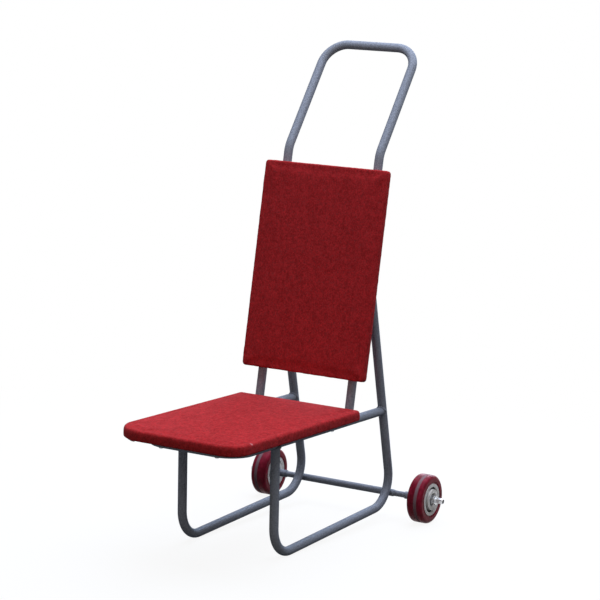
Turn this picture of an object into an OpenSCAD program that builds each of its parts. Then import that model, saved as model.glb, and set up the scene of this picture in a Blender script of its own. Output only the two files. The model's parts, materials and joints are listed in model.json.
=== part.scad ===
// Stacking chair trolley: a welded frame of bent steel tube that carries an
// upholstered seat panel and an upholstered back panel, on two ball-bearing wheels.
// X is across, -Y is the front, Z is up, and the floor is at Z = 0.

/* [Tube frame] */
// Outside diameter of the frame tube
tube_d = 22.2; // [20:0.1:26]
// Wall thickness of the frame tube
tube_wall = 1.5; // [1:0.1:2.5]
// Centreline radius of the bends in the handle and in the seat frame
bend_r = 60; // [50:1:68]
// Centreline radius of the bends in the side loops
loop_bend_r = 72; // [60:1:80]
// Distance between the centrelines of the two side frames
side_spacing = 259; // [240:1:290]
// Height of the seat rails' centreline above the floor
rail_h = 284; // [260:1:320]
// Straight length of each floor runner, between its two bends
runner_len = 413; // [380:1:450]
// Upward slope of the runners towards the rear, in degrees
runner_rise = 3; // [1:0.1:4]
// Forward lean of the front legs towards the top, in degrees
front_leg_lean = 2.2; // [0:0.1:5]
// Forward lean of the rear legs towards the top, in degrees
rear_leg_lean = 15.8; // [13:0.1:18]
// Backward lean of the uprights, in degrees
upright_lean = 8.5; // [5:0.1:11]
// Length of an upright, from the rail to the bend below the handle
upright_len = 659; // [640:1:720]
// Backward lean of the handle, in degrees
handle_lean = 35; // [25:0.5:45]
// Length of the handle, from its lower bend to the grip bar
handle_len = 309; // [240:1:360]

/* [Seat panel] */
// Width of the seat panel and of the back panel
panel_w = 350; // [330:1:400]
// Depth of the seat panel from front to rear
seat_d = 564; // [530:1:600]
// Thickness of the seat board
seat_board_t = 15; // [12:0.5:20]
// Thickness of the seat foam
seat_foam_t = 9; // [5:0.5:12]
// Plan radius of the seat's front corners
seat_front_r = 66; // [20:1:80]
// Clear gap between the seat's rear edge and the uprights
seat_rear_gap = 5; // [2:0.5:10]
// Distance from the seat's front edge back to the crossbar under it
crossbar_setback = 71; // [60:1:100]
// Distance from the seat's front edge back to the tops of the front legs
front_leg_setback = 241; // [220:1:280]
// Distance between the two front seat bolts
front_bolt_spacing = 154; // [120:1:160]
// Distance from the seat's rear edge to the rear seat bolts
rear_bolt_inset = 60; // [40:1:100]

/* [Back panel] */
// Height of the back panel, along its slope
back_h = 518; // [480:1:530]
// Distance up the uprights from the rail to the back panel's lower edge
back_lift = 102; // [80:1:110]
// Thickness of the back board
back_board_t = 12; // [9:0.5:18]
// Thickness of the back foam
back_foam_t = 5.5; // [3:0.5:10]
// Distance from the back panel's lower and upper edges to its bolts
back_bolt_inset = 60; // [40:1:100]

/* [Upholstery] */
// Thickness of the cover cloth and of the lining cloth
cloth_t = 1.5; // [1:0.1:2]
// Rounding of the panels' outer edges
panel_edge_r = 6; // [4:0.5:8]
// Rounding of the panels' edges on the frame side
panel_hem_r = 3.5; // [2.5:0.5:5]
// Plan radius of the panels' small corners
panel_corner_r = 9; // [9:1:20]
// Width of the cover's border that is turned under the board
hem_w = 38; // [25:1:42]

/* [Panel bolts] */
// Shank diameter of the panel bolts
bolt_d = 6; // [5:0.5:8]
// Head diameter of the panel bolts
bolt_head_d = 10.5; // [9:0.5:14]
// Head height of the panel bolts
bolt_head_h = 3.3; // [2.5:0.1:4]
// Width across the flats of the bolts' hex socket
bolt_socket = 4; // [3:0.5:4.5]
// Flange diameter of the tee nuts
tee_flange_d = 19; // [15:0.5:24]
// Flange thickness of the tee nuts
tee_flange_t = 1.4; // [1:0.1:2]
// Barrel diameter of the tee nuts
tee_barrel_d = 8; // [8:0.1:9.5]
// Barrel length of the tee nuts
tee_barrel_l = 9; // [6:0.5:9]

/* [Axle] */
// Diameter of the axle rod
axle_d = 15; // [15:0.5:17]
// Outside diameter of the cross tube that holds the axle rod
axle_tube_d = 18; // [18:0.5:22]
// Distance between the centres of the two wheels
wheel_track = 463; // [440:1:500]
// Diameter of the stop collars on the axle rod
collar_d = 19; // [18.5:0.5:21]
// Length of the stop collars
collar_l = 34; // [20:1:40]
// Thread diameter of the axle ends
axle_thread_d = 14; // [12:0.5:14.5]
// Length of axle that stands out past the outer bearing
axle_end_l = 33; // [20:1:40]
// Diameter of the axle washers
axle_washer_d = 24; // [22:0.5:28]
// Thickness of the axle washers
axle_washer_t = 2.5; // [1.5:0.5:4]
// Width across the flats of the axle nuts
axle_nut_flats = 21; // [19:0.5:22]
// Thickness of the axle nuts
axle_nut_t = 11; // [8:0.5:13]

/* [Wheels] */
// Diameter of the wheels
wheel_d = 124; // [115:1:135]
// Width of the tyre
tyre_w = 43; // [40:1:46]
// Rounding of the tyre's shoulders
tyre_shoulder_r = 9; // [6:0.5:11]
// Height of the tyre's sidewall lip above the rim
tyre_lip_h = 5; // [3:0.5:7]
// Depth of the step inside the tyre's sidewall lip
tyre_step = 1.6; // [1:0.1:2.5]
// Diameter of the hub's rim
rim_d = 82; // [78:1:88]
// Width of the hub's rim
rim_w = 42; // [36:1:43]
// Thickness of the hub's rim ring, measured radially
rim_t = 8; // [6:0.5:9]
// Diameter of the hub's boss
boss_d = 53; // [48:1:56]
// Length of the hub's boss
boss_w = 49; // [46:1:52]
// Thickness of the web between boss and rim
web_t = 13; // [8:1:20]

/* [Bearings] */
// Outside diameter of the ball bearings
bearing_od = 35; // [34.5:0.5:38]
// Width of the ball bearings
bearing_w = 11; // [10.5:0.5:12]
// Depth of the bearings' outer faces below the boss face
bearing_sink = 4; // [0.5:0.5:6]
// Diameter of the bearing balls
ball_d = 6; // [5:0.1:6]
// Number of balls in a bearing
ball_count = 8; // [6:1:8]
// Radial thickness of the races at their shoulders
race_t = 3.2; // [3:0.1:3.3]

/* [Fits] */
// Gap between parts that are welded, bonded or pressed together
weld_gap = 0.1; // [0.05:0.05:0.3]
// Gap between a tube's round side and the flat that rests on it
rest_gap = 0.1; // [0.05:0.05:0.3]
// Radial clearance of bolts in their holes
bolt_clear = 0.3; // [0.2:0.05:0.5]
// Radial clearance of the axle rod in what it passes through
axle_clear = 0.05; // [0.02:0.01:0.1]
// Running gap between moving bearing pieces
bearing_gap = 0.3; // [0.25:0.05:0.4]
// Leg length of the weld beads
weld_leg = 3; // [2:0.5:4]

/* [Hidden] */
$fn = 64;
seam_fn = 160;

tube_r = tube_d / 2;
side_x = side_spacing / 2;
axle_z = wheel_d / 2;

// Side view of the frame, as [y, z] points and directions, with y measured from the seat's front edge
up_dir = [sin(upright_lean), cos(upright_lean)];
grip_dir = [sin(handle_lean), cos(handle_lean)];
leg_dir = [-sin(front_leg_lean), cos(front_leg_lean)];
strut_dir = [-sin(rear_leg_lean), cos(rear_leg_lean)];
runner_dir = [cos(runner_rise), sin(runner_rise)];
leg_top = [front_leg_setback, rail_h];
upright_foot = [seat_d + seat_rear_gap + tube_r, rail_h];
front_bend_z = loop_bend_r + tube_r;
front_bend = [
    leg_top[0] + (rail_h - front_bend_z + loop_bend_r * sin(front_leg_lean)) * tan(front_leg_lean)
        + loop_bend_r * cos(front_leg_lean),
    front_bend_z
];
rear_bend = front_bend + runner_len * runner_dir;
strut_start = rear_bend + loop_bend_r * [cos(rear_leg_lean), sin(rear_leg_lean)];
axle_reach = loop_bend_r + tube_r + axle_tube_d / 2 + weld_gap;
axle_off = rear_bend[0] + sqrt(pow(axle_reach, 2) - pow(rear_bend[1] - axle_z, 2));
grip_foot = upright_foot + upright_len * up_dir;
grip_top = grip_foot + handle_len * grip_dir;
overall_d = max(axle_off + wheel_d / 2, grip_top[0] + tube_r);
front_y = -overall_d / 2;

// Where two lines of the side view cross, each given as a point and a direction
function cross_z(a, b) = a[0] * b[1] - a[1] * b[0];
function meet(p, u, q, v) = p + u * (cross_z(q - p, v) / cross_z(u, v));
// A side-view point at the distance x across, in the model's own frame
function at(x, p) = [x, front_y + p[0], p[1]];

strut_top = meet(strut_start, strut_dir, upright_foot, up_dir);
rail_end = meet(strut_start, strut_dir, leg_top, [1, 0]);
leg_start = front_bend - loop_bend_r * [cos(front_leg_lean), sin(front_leg_lean)];
axle_y = front_y + axle_off;

// Straight stretches of the side frame at the distance x across, each as its two ends
function rail_line(x) = [at(x, rail_end), at(x, [crossbar_setback + bend_r, rail_h])];
function upright_line(x) = [at(x, upright_foot), at(x, grip_foot)];
function strut_line(x) = [at(x, strut_top), at(x, strut_start)];
function leg_line(x) = [at(x, leg_top), at(x, leg_start)];

// Courses of the bent tubes: a straight length, a roll about it, and the turn of the bend after it
set_turn = handle_lean - upright_lean;
set_cut = bend_r * tan(set_turn / 2);
handle_course = [[upright_len - set_cut, 0, set_turn], [handle_len - set_cut - bend_r, -90, 90],
    [side_spacing - 2 * bend_r, 0, 90], [handle_len - set_cut - bend_r, 90, set_turn],
    [upright_len - set_cut]];
rail_len = rail_end[0] - crossbar_setback - bend_r;
seat_frame_course = [[rail_len, 0, 90], [side_spacing - 2 * bend_r, 0, 90], [rail_len]];
loop_course = [[norm(leg_top - leg_start), 0, 90 - front_leg_lean + runner_rise],
    [runner_len, 0, 90 + rear_leg_lean - runner_rise], [norm(strut_top - strut_start)]];
// How much thinner a bend is than the straight tube, and how far the straight tube runs into it
bend_draw = 0.04;
bend_lap = 0.3;
cope_d = tube_d + 2 * weld_gap;

// Panels: board, foam and cloth, and the bolts that hold each one to the frame
seat_t = 2 * cloth_t + seat_board_t + seat_foam_t;
back_t = 2 * cloth_t + back_board_t + back_foam_t;
front_bolt_x = front_bolt_spacing / 2;
bend_step = max(0, front_bolt_x - side_x + bend_r);
front_bolt_y = crossbar_setback + bend_r - sqrt(pow(bend_r, 2) - pow(bend_step, 2));
seat_bolt_places = [[-front_bolt_x, front_bolt_y], [front_bolt_x, front_bolt_y],
    [-side_x, seat_d - rear_bolt_inset], [side_x, seat_d - rear_bolt_inset]];
back_bolt_places = [for (x = [-side_x, side_x], y = [back_bolt_inset, back_h - back_bolt_inset]) [x, y]];

// Wheel and bearing stations along X, for the right-hand side
wheel_x = wheel_track / 2;
bearing_face = boss_w / 2 - bearing_sink;
bearing_mid = bearing_face - bearing_w / 2;
cross_tube_half = side_x + tube_r + weld_leg / 2;
axle_half = wheel_x + bearing_face + axle_end_l;
pitch_r = (axle_d + bearing_od) / 4;
groove_r = ball_d / 2 + bearing_gap;
inner_race_r = axle_d / 2 + axle_clear + race_t;
outer_race_r = bearing_od / 2 - race_t;
spacer_d = 2 * (inner_race_r - bearing_gap);
hub_bore_r = bearing_od / 2 - 0.9 * race_t;
axle_tip = 1.5;
seal_t = 0.9;
seal_sink = 0.4;
cage_w = bearing_w - 2 * (seal_sink + seal_t + bearing_gap);
cage_t = 2.2;

frame_paint = [0.48, 0.52, 0.60];
cover_red = [0.66, 0.10, 0.13];
steel = [0.75, 0.76, 0.78];
tyre_red = [0.42, 0.05, 0.10];
hub_grey = [0.62, 0.62, 0.61];
plywood = [0.78, 0.62, 0.42];
foam_yellow = [0.90, 0.84, 0.62];
lining_black = [0.10, 0.10, 0.11];
seal_black = [0.12, 0.12, 0.13];

function unit(v) = v / norm(v);

// A round bar along a line that is given as its two ends
module bar(line, d) {
    v = line[1] - line[0];
    translate(line[0])
        rotate([0, acos(v[2] / norm(v)), atan2(v[1], v[0])])
            cylinder(d = d, h = norm(v));
}

// A bend of radius r that starts along Z and turns towards X, drawn a touch thinner than the straight tube
module elbow(turn, d, r) {
    multmatrix([[-1, 0, 0, r], [0, 0, 1, 0], [0, 1, 0, 0], [0, 0, 0, 1]])
        rotate_extrude(angle = turn)
            translate([r, 0])
                circle(d = d - bend_draw);
}

// A solid round bar that follows a course with bends of radius r from step i on, starting along Z
module run(course, d, r = bend_r, i = 0) {
    lead = i > 0 ? bend_lap : 0;
    tail = i + 1 < len(course) ? bend_lap : 0;
    translate([0, 0, -lead])
        cylinder(d = d, h = lead + course[i][0] + tail);
    if (i + 1 < len(course))
        translate([0, 0, course[i][0]])
            rotate([0, 0, course[i][1]]) {
                elbow(course[i][2], d, r);
                translate([r, 0, 0])
                    rotate([0, course[i][2], 0])
                        translate([-r, 0, 0])
                            run(course, d, r, i + 1);
            }
}

// Puts the start of a course at p, heading along z_dir, with its first bend towards x_dir
module start_at(p, x_dir, z_dir) {
    y_dir = cross(z_dir, x_dir);
    multmatrix([for (i = [0:2]) [x_dir[i], y_dir[i], z_dir[i], p[i]]])
        children();
}

// A hollow frame tube that follows a course with bends of radius r
module bent_tube(course, r = bend_r) {
    difference() {
        run(course, tube_d, r);
        run(course, tube_d - 2 * tube_wall, r);
    }
}

module at_loop(x) {
    start_at(at(x, leg_top), [0, leg_dir[1], -leg_dir[0]], -[0, leg_dir[0], leg_dir[1]])
        children();
}

// Weld bead along the seam where a branch tube meets the side of another tube
module seam_bead(tube, branch) {
    difference() {
        intersection() {
            bar(tube, tube_d + 2 * weld_leg);
            bar(branch, tube_d + weld_leg);
        }
        bar(tube, cope_d);
        bar(branch, cope_d + 2 * weld_gap);
    }
}

// Places for what is fixed to the back panel's slope and to the seat
module on_seat() {
    translate([0, front_y, rail_h + tube_r + rest_gap])
        children();
}

module on_back() {
    translate(at(0, upright_foot))
        rotate([-upright_lean, 0, 0])
            translate([0, -tube_r - rest_gap, back_lift])
                rotate([90, 0, 0])
                    children();
}

// Frame

module handle_tube() {
    color(frame_paint)
        difference() {
            start_at(at(-side_x, upright_foot), [0, up_dir[1], -up_dir[0]], [0, up_dir[0], up_dir[1]])
                bent_tube(handle_course);
            for (x = [-side_x, side_x])
                bar(rail_line(x), cope_d);
            on_back()
                bolt_holes(back_bolt_places);
        }
}

module side_loop(x) {
    color(frame_paint)
        difference() {
            at_loop(x)
                bent_tube(loop_course, loop_bend_r);
            bar(rail_line(x), cope_d);
            bar(upright_line(x), cope_d);
        }
}

module seat_frame_tube() {
    color(frame_paint)
        difference() {
            start_at(at(-side_x, rail_end), [1, 0, 0], [0, -1, 0])
                bent_tube(seat_frame_course);
            for (x = [-side_x, side_x])
                bar(strut_line(x), cope_d);
            on_seat()
                bolt_holes(seat_bolt_places);
        }
}

module upright_welds() {
    color(frame_paint)
        for (x = [-side_x, side_x])
            seam_bead(rail_line(x), upright_line(x), $fn = seam_fn);
}

module leg_welds() {
    color(frame_paint)
        for (x = [-side_x, side_x])
            seam_bead(rail_line(x), leg_line(x), $fn = seam_fn);
}

module rail_welds() {
    color(frame_paint)
        for (x = [-side_x, side_x])
            seam_bead(strut_line(x), rail_line(x), $fn = seam_fn);
}

module strut_welds() {
    color(frame_paint)
        for (x = [-side_x, side_x])
            seam_bead(upright_line(x), strut_line(x), $fn = seam_fn);
}

// Axle

// Turns a part that is built along Z to lie along X on the axle's line, at the distance x across
module on_axle(x) {
    translate([x, axle_y, axle_z])
        rotate([0, 90, 0])
            children();
}

module ring(d_out, d_in, h) {
    difference() {
        cylinder(d = d_out, h = h, center = true);
        cylinder(d = d_in, h = h + 1, center = true);
    }
}

module axle_cross_tube() {
    color(frame_paint)
        on_axle(0)
            ring(axle_tube_d, axle_d + 2 * axle_clear, 2 * cross_tube_half);
}

module axle_rod() {
    shoulder = wheel_x + bearing_face;
    color(steel)
        on_axle(0) {
            cylinder(d = axle_d, h = 2 * shoulder, center = true);
            for (s = [0, 1])
                mirror([0, 0, s]) {
                    translate([0, 0, shoulder])
                        cylinder(d = axle_thread_d, h = axle_end_l - axle_tip);
                    translate([0, 0, axle_half - axle_tip])
                        cylinder(d1 = axle_thread_d, d2 = axle_thread_d - 2 * axle_tip, h = axle_tip);
                }
        }
}

module axle_collars() {
    color(frame_paint)
        for (s = [-1, 1])
            on_axle(s * (wheel_x - bearing_face - collar_l / 2))
                ring(collar_d, axle_d + 2 * axle_clear, collar_l);
}

// Fill between the cross tube and the rear bends, and a ring where the rod leaves the cross tube
module axle_welds() {
    radial = unit([axle_off, axle_z] - rear_bend);
    seam = rear_bend + (loop_bend_r + tube_r) * radial;
    color(frame_paint)
        for (s = [-1, 1]) {
            difference() {
                translate(at(s * side_x, seam))
                    rotate([atan2(radial[1], radial[0]) - 90, 0, 0])
                        cylinder(d = axle_tube_d - weld_leg, h = tube_d / 2, center = true, $fn = seam_fn);
                at_loop(s * side_x)
                    run(loop_course, cope_d, loop_bend_r, $fn = 4 * seam_fn);
                on_axle(s * side_x)
                    cylinder(d = axle_tube_d + 2 * weld_gap, h = 2 * tube_d, center = true, $fn = seam_fn);
            }
            on_axle(s * (cross_tube_half + weld_leg / 2))
                rotate([0, s * 90 - 90, 0])
                    difference() {
                        cylinder(d1 = axle_tube_d, d2 = axle_d + weld_leg / 3, h = weld_leg, center = true);
                        cylinder(d = axle_d + 2 * axle_clear, h = weld_leg + 1, center = true);
                    }
        }
}

// Panels, laid flat with the frame side down and the near edge on the X axis

// Plan outline with its own radii at the near and the far corners, in from the edge by inset
module panel_outline(d, near_r, far_r, inset) {
    w = panel_w / 2 - inset;
    near = near_r - inset;
    far = far_r - inset;
    translate([-w + near, inset])
        square([2 * (w - near), d - 2 * inset]);
    translate([-w, near + inset])
        square([2 * w, d - 2 * inset - near - far]);
    for (s = [-1, 1]) {
        translate([s * (w - near), inset + near])
            circle(r = near);
        translate([s * (w - far), d - inset - far])
            circle(r = far);
    }
    translate([-w + far, d / 2])
        square([2 * (w - far), d / 2 - inset]);
}

// Section of an edge that is rounded by edge_r, standing on the plan outline
module edge_section(reach, edge_r) {
    if (reach > edge_r)
        square([reach - edge_r, edge_r]);
    translate([reach - edge_r, 0])
        intersection() {
            circle(r = edge_r);
            square(edge_r);
        }
}

// Layer of a panel whose upper edge is rounded all round
module rounded_layer(d, near_r, far_r, inset, edge_r) {
    w = panel_w / 2 - inset;
    near = near_r - inset;
    far = far_r - inset;
    y0 = inset;
    y1 = d - inset;
    linear_extrude(edge_r)
        polygon([[-w + near, y0 + edge_r], [w - near, y0 + edge_r], [w - near, y0 + near],
            [w - edge_r, y0 + near], [w - edge_r, y1 - far], [w - far, y1 - far],
            [w - far, y1 - edge_r], [-w + far, y1 - edge_r], [-w + far, y1 - far],
            [-w + edge_r, y1 - far], [-w + edge_r, y0 + near], [-w + near, y0 + near]]);
    for (s = [0, 1])
        mirror([s, 0, 0]) {
            translate([w - edge_r, y1 - far, 0])
                rotate([90, 0, 0])
                    linear_extrude(y1 - y0 - near - far)
                        edge_section(edge_r, edge_r);
            translate([w - near, y0 + near, 0])
                rotate([0, 0, -90])
                    rotate_extrude(angle = 90)
                        edge_section(near, edge_r);
            translate([w - far, y1 - far, 0])
                rotate_extrude(angle = 90)
                    edge_section(far, edge_r);
        }
    translate([-w + near, y0 + edge_r, 0])
        rotate([90, 0, 90])
            mirror([1, 0, 0])
                linear_extrude(2 * (w - near))
                    edge_section(edge_r, edge_r);
    translate([-w + far, y1 - edge_r, 0])
        rotate([90, 0, 90])
            linear_extrude(2 * (w - far))
                edge_section(edge_r, edge_r);
}

// A panel body from z0 to z1, in from the panel's skin by inset, with rounded upper and lower edges
module slab(d, near_r, far_r, inset, z0, z1, low_r, high_r) {
    translate([0, 0, z0 + low_r])
        linear_extrude(z1 - z0 - low_r - high_r)
            panel_outline(d, near_r, far_r, inset);
    if (high_r > 0)
        translate([0, 0, z1 - high_r])
            rounded_layer(d, near_r, far_r, inset, high_r);
    if (low_r > 0)
        translate([0, 0, z0 + low_r])
            mirror([0, 0, 1])
                rounded_layer(d, near_r, far_r, inset, low_r);
}

module at_places(places) {
    for (p = places)
        translate([p[0], p[1], 0])
            children();
}

// Bolt holes through the frame tube, the cloth and the lower part of the board
module bolt_holes(places) {
    at_places(places)
        translate([0, 0, -2 * tube_d])
            cylinder(d = bolt_d + 2 * bolt_clear, h = 2 * tube_d + 2 * cloth_t);
}

module panel_board(d, near_r, board_t, places) {
    color(plywood)
        difference() {
            slab(d, near_r, panel_corner_r, cloth_t + weld_gap, cloth_t, cloth_t + board_t,
                panel_hem_r - cloth_t, 0);
            at_places(places)
                cylinder(d = tee_barrel_d + 2 * weld_gap, h = 2 * cloth_t + board_t);
        }
}

module panel_foam(d, near_r, board_t, foam_t, places) {
    base = cloth_t + board_t;
    color(foam_yellow)
        difference() {
            slab(d, near_r, panel_corner_r, cloth_t + weld_gap, base, base + foam_t - weld_gap,
                0, panel_edge_r - cloth_t);
            at_places(places)
                translate([0, 0, base - 1])
                    cylinder(d = tee_flange_d + 2 * bolt_clear, h = 1 + tee_flange_t + weld_gap);
        }
}

module panel_cover(d, near_r, t) {
    color(cover_red)
        difference() {
            slab(d, near_r, panel_corner_r, 0, 0, t, panel_hem_r, panel_edge_r);
            slab(d, near_r, panel_corner_r, cloth_t, cloth_t, t - cloth_t,
                panel_hem_r - cloth_t, panel_edge_r - cloth_t);
            translate([0, 0, -1])
                linear_extrude(2 + cloth_t)
                    hem_field(d, 0);
        }
}

// The part of the frame side that the cover's turned-in border leaves free
module hem_field(d, inset) {
    in = hem_w + inset;
    translate([in - panel_w / 2, in])
        square([panel_w - 2 * in, d - 2 * in]);
}

module panel_lining(d, places) {
    color(lining_black)
        difference() {
            linear_extrude(cloth_t)
                hem_field(d, weld_gap);
            bolt_holes(places);
        }
}

module panel_bolts(places, board_t) {
    seat = -tube_d - 2 * rest_gap;
    dome_r = (pow(bolt_head_d / 2, 2) + pow(bolt_head_h, 2)) / (2 * bolt_head_h);
    shank_l = -seat + cloth_t + board_t - bolt_clear;
    socket_depth = 0.6 * bolt_head_h;
    color(steel)
        at_places(places)
            translate([0, 0, seat]) {
                cylinder(d = bolt_d, h = shank_l);
                difference() {
                    intersection() {
                        translate([0, 0, dome_r - bolt_head_h])
                            sphere(r = dome_r);
                        translate([0, 0, -bolt_head_h])
                            cylinder(d = bolt_head_d + 1, h = bolt_head_h);
                    }
                    translate([0, 0, -bolt_head_h - 1])
                        cylinder(d = bolt_socket / cos(30), h = 1 + socket_depth, $fn = 6);
                }
            }
}

module panel_tee_nuts(places, board_t) {
    top = cloth_t + board_t;
    color(steel)
        at_places(places)
            difference() {
                union() {
                    translate([0, 0, top])
                        cylinder(d = tee_flange_d, h = tee_flange_t);
                    translate([0, 0, top - tee_barrel_l])
                        cylinder(d = tee_barrel_d, h = tee_barrel_l + tee_flange_t / 2);
                }
                translate([0, 0, top - tee_barrel_l - 1])
                    cylinder(d = bolt_d + 2 * weld_gap, h = tee_barrel_l + 2 + tee_flange_t);
            }
}

module seat_board() {
    on_seat()
        panel_board(seat_d, seat_front_r, seat_board_t, seat_bolt_places);
}

module seat_foam() {
    on_seat()
        panel_foam(seat_d, seat_front_r, seat_board_t, seat_foam_t, seat_bolt_places);
}

module seat_cover() {
    on_seat()
        panel_cover(seat_d, seat_front_r, seat_t);
}

module seat_lining() {
    on_seat()
        panel_lining(seat_d, seat_bolt_places);
}

module seat_bolts() {
    on_seat()
        panel_bolts(seat_bolt_places, seat_board_t);
}

module seat_tee_nuts() {
    on_seat()
        panel_tee_nuts(seat_bolt_places, seat_board_t);
}

module back_board() {
    on_back()
        panel_board(back_h, panel_corner_r, back_board_t, back_bolt_places);
}

module back_foam() {
    on_back()
        panel_foam(back_h, panel_corner_r, back_board_t, back_foam_t, back_bolt_places);
}

module back_cover() {
    on_back()
        panel_cover(back_h, panel_corner_r, back_t);
}

module back_lining() {
    on_back()
        panel_lining(back_h, back_bolt_places);
}

module back_bolts() {
    on_back()
        panel_bolts(back_bolt_places, back_board_t);
}

module back_tee_nuts() {
    on_back()
        panel_tee_nuts(back_bolt_places, back_board_t);
}

// Wheels, built along Z round the wheel's own middle, with the outer side up

module on_wheel(side) {
    mirror([side < 0 ? 1 : 0, 0, 0])
        on_axle(wheel_x)
            children();
}

// The two bearing stations of a wheel
module at_bearings() {
    for (s = [-1, 1])
        translate([0, 0, s * bearing_mid])
            children();
}

module tyre(side) {
    r = wheel_d / 2;
    half = tyre_w / 2;
    inner = rim_d / 2 + weld_gap;
    color(tyre_red)
        on_wheel(side)
            rotate_extrude()
                difference() {
                    union() {
                        translate([inner, -half])
                            square([r - tyre_shoulder_r - inner, tyre_w]);
                        translate([inner, -half + tyre_shoulder_r])
                            square([r - inner, tyre_w - 2 * tyre_shoulder_r]);
                        for (s = [-1, 1])
                            translate([r - tyre_shoulder_r, s * (half - tyre_shoulder_r)])
                                circle(r = tyre_shoulder_r);
                    }
                    for (s = [0, 1])
                        mirror([0, s])
                            translate([inner - 1, half - tyre_step])
                                square([1 + tyre_lip_h, tyre_step + 1]);
                }
}

module hub(side) {
    rim_r = rim_d / 2;
    boss_r = boss_d / 2;
    seat_r = bearing_od / 2 + weld_gap;
    color(hub_grey)
        on_wheel(side)
            rotate_extrude()
                difference() {
                    union() {
                        translate([rim_r - rim_t, -rim_w / 2])
                            square([rim_t, rim_w]);
                        translate([boss_r - 1, -web_t / 2])
                            square([rim_r - rim_t - boss_r + 2, web_t]);
                        translate([hub_bore_r, -boss_w / 2])
                            square([boss_r - hub_bore_r, boss_w]);
                    }
                    for (s = [0, 1])
                        mirror([0, s])
                            translate([hub_bore_r - 1, bearing_face - bearing_w])
                                square([seat_r - hub_bore_r + 1, bearing_w + bearing_sink + 1]);
                }
}

// The ring in which the balls run, as a section in the bearing's plane
module ball_groove() {
    translate([pitch_r, 0])
        circle(r = groove_r);
}

module outer_races(side) {
    color(steel)
        on_wheel(side)
            at_bearings()
                rotate_extrude()
                    difference() {
                        translate([outer_race_r, -bearing_w / 2])
                            square([race_t, bearing_w]);
                        ball_groove();
                    }
}

module inner_races(side) {
    color(steel)
        on_wheel(side)
            at_bearings()
                rotate_extrude()
                    difference() {
                        translate([inner_race_r - race_t, -bearing_w / 2])
                            square([race_t, bearing_w]);
                        ball_groove();
                    }
}

module at_balls() {
    for (i = [0:ball_count - 1])
        rotate([0, 0, i * 360 / ball_count])
            translate([pitch_r, 0, 0])
                children();
}

module balls(side) {
    color(steel)
        on_wheel(side)
            at_bearings()
                at_balls()
                    sphere(d = ball_d);
}

module cages(side) {
    color(steel)
        on_wheel(side)
            at_bearings()
                difference() {
                    ring(2 * pitch_r + cage_t, 2 * pitch_r - cage_t, cage_w);
                    at_balls()
                        rotate([0, 90, 0])
                            cylinder(d = ball_d + 2 * weld_gap, h = 2 * cage_t, center = true);
                }
}

module seals(side) {
    color(seal_black)
        on_wheel(side)
            at_bearings()
                for (s = [-1, 1])
                    translate([0, 0, s * (bearing_w / 2 - seal_sink - seal_t / 2)])
                        ring(2 * (outer_race_r - weld_gap), 2 * (inner_race_r + bearing_gap), seal_t);
}

module bearing_spacer(side) {
    color(steel)
        on_wheel(side)
            ring(spacer_d, axle_d + 2 * axle_clear, 2 * (bearing_face - bearing_w));
}

module axle_washer(side) {
    color(steel)
        on_wheel(side)
            translate([0, 0, bearing_face + axle_washer_t / 2])
                ring(axle_washer_d, axle_thread_d + 2 * axle_clear, axle_washer_t);
}

module axle_nut(side) {
    flat_r = axle_nut_flats / 2;
    face_r = 0.96 * flat_r;
    color(steel)
        on_wheel(side)
            translate([0, 0, bearing_face + axle_washer_t])
                difference() {
                    intersection() {
                        cylinder(r = flat_r / cos(30), h = axle_nut_t, $fn = 6);
                        cylinder(r1 = face_r + axle_nut_t / tan(30), r2 = face_r, h = axle_nut_t);
                    }
                    translate([0, 0, -1])
                        cylinder(d = axle_thread_d + 2 * axle_clear, h = axle_nut_t + 2);
                }
}

handle_tube();
side_loop(-side_x);  // left_side_loop
side_loop(side_x);  // right_side_loop
seat_frame_tube();
upright_welds();
strut_welds();
leg_welds();
rail_welds();
axle_cross_tube();
axle_rod();
axle_collars();
axle_welds();
seat_board();
seat_foam();
seat_cover();
seat_lining();
seat_bolts();
seat_tee_nuts();
back_board();
back_foam();
back_cover();
back_lining();
back_bolts();
back_tee_nuts();
tyre(-1);  // left_tyre
hub(-1);  // left_hub
outer_races(-1);  // left_outer_races
inner_races(-1);  // left_inner_races
balls(-1);  // left_balls
cages(-1);  // left_cages
seals(-1);  // left_seals
bearing_spacer(-1);  // left_bearing_spacer
axle_washer(-1);  // left_axle_washer
axle_nut(-1);  // left_axle_nut
tyre(1);  // right_tyre
hub(1);  // right_hub
outer_races(1);  // right_outer_races
inner_races(1);  // right_inner_races
balls(1);  // right_balls
cages(1);  // right_cages
seals(1);  // right_seals
bearing_spacer(1);  // right_bearing_spacer
axle_washer(1);  // right_axle_washer
axle_nut(1);  // right_axle_nut
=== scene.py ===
"""Studio scene of a stacking chair trolley: tube frame, felt-covered panels and ball-bearing wheels."""
from __future__ import annotations

import json
import logging
import math
from dataclasses import dataclass
from enum import Enum
from typing import Callable, Iterable, Sequence

import bpy
import numpy as np
from mathutils import Matrix, Vector, noise

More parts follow.
